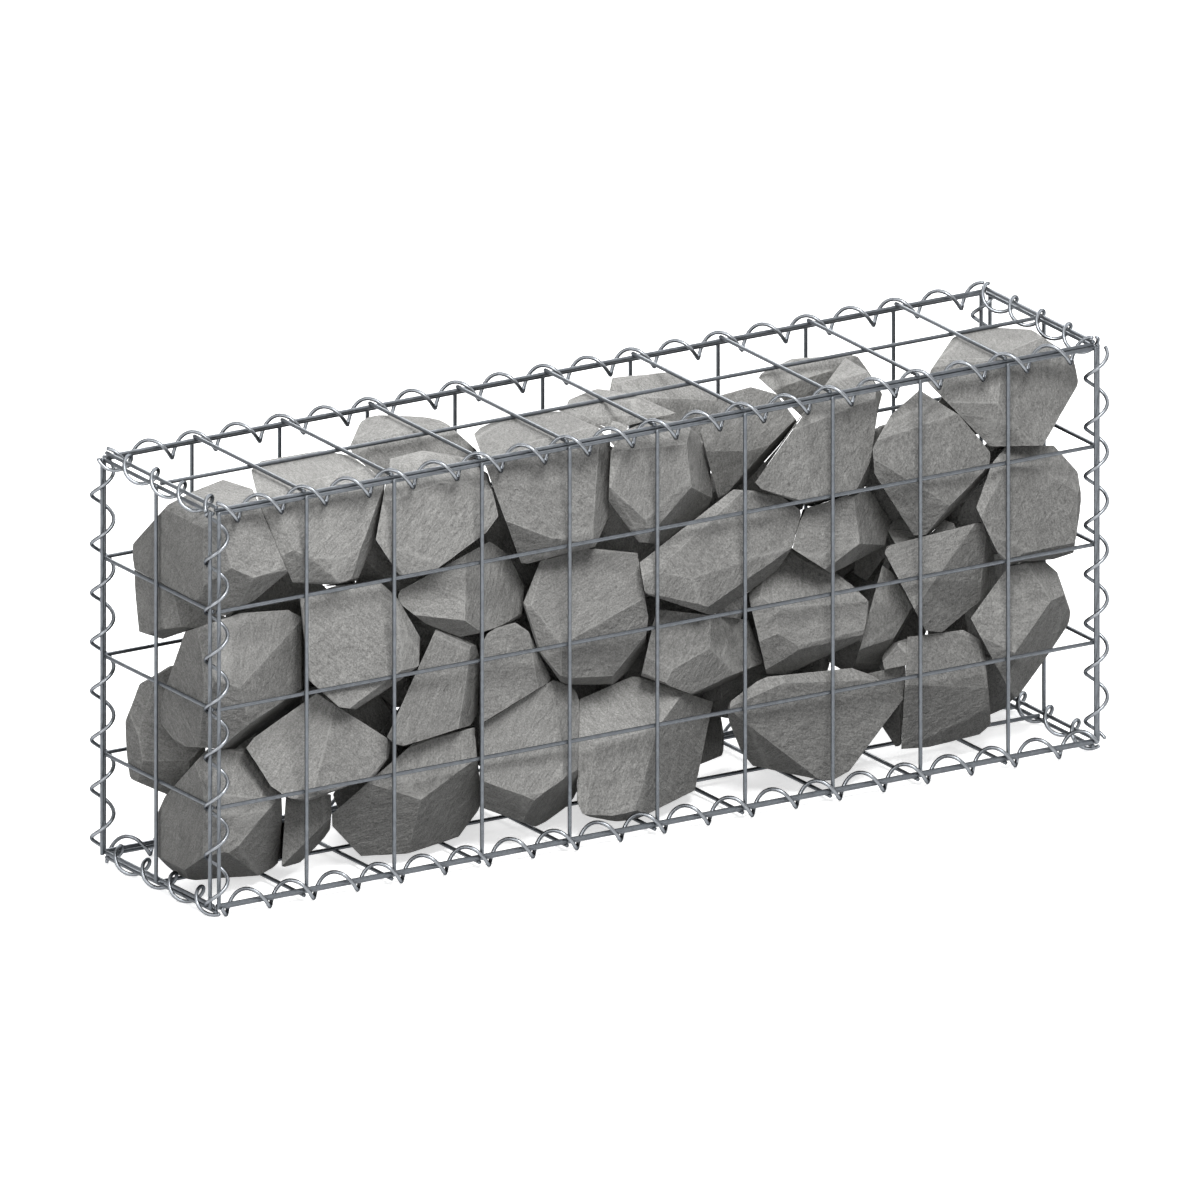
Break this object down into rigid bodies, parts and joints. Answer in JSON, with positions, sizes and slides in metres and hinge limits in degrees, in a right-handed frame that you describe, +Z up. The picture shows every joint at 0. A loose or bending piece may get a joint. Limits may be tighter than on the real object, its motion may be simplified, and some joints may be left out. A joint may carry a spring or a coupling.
{
  "type": "gabion wall",
  "caption": "Low free-standing gabion wall: a long narrow basket of welded wire mesh, laced along its edges by spiral binders and filled with broken grey stone.",
  "frame": {"origin": "centre of the footprint, at the level the lowest coils stand on", "axes": "+X along the wall's length to the right, +Y from the front face to the back face, +Z up"},
  "size_m": [1.0309, 0.2338, 0.4268],
  "materials": {
    "mesh_wire": "galvanised",
    "spiral_wire": "galvanised",
    "fill_stone": "broken, matt"
  },
  "bodies": {
    "root": {"front_mesh": "mesh_wire", "back_mesh": "mesh_wire", "left_end_mesh": "mesh_wire", "right_end_mesh": "mesh_wire", "lid_mesh": "mesh_wire", "bottom_mesh": "mesh_wire", "spiral_back_bottom": "spiral_wire", "spiral_back_left": "spiral_wire", "spiral_back_right": "spiral_wire", "spiral_back_top": "spiral_wire", "spiral_front_bottom": "spiral_wire", "spiral_front_left": "spiral_wire", "spiral_front_right": "spiral_wire", "spiral_front_top": "spiral_wire", "spiral_left_bottom": "spiral_wire", "spiral_left_top": "spiral_wire", "spiral_right_bottom": "spiral_wire", "spiral_right_top": "spiral_wire", "top_stones_left": "fill_stone", "top_stones_centre": "fill_stone", "top_stones_right": "fill_stone", "upper_stones_left": "fill_stone", "upper_stones_centre": "fill_stone", "upper_stones_right": "fill_stone", "middle_stones_left": "fill_stone", "middle_stones_centre": "fill_stone", "middle_stones_right": "fill_stone", "bottom_stones_left": "fill_stone", "bottom_stones_centre": "fill_stone", "bottom_stones_right": "fill_stone", "crest_stones": "fill_stone", "rear_top_stones_left": "fill_stone", "rear_top_stones_centre": "fill_stone", "rear_top_stones_right": "fill_stone", "rear_upper_stones_left": "fill_stone", "rear_upper_stones_centre": "fill_stone", "rear_upper_stones_right": "fill_stone", "rear_middle_stones_left": "fill_stone", "rear_middle_stones_right": "fill_stone", "rear_bottom_stones_left": "fill_stone", "rear_bottom_stones_right": "fill_stone"}
  },
  "joints": []
}
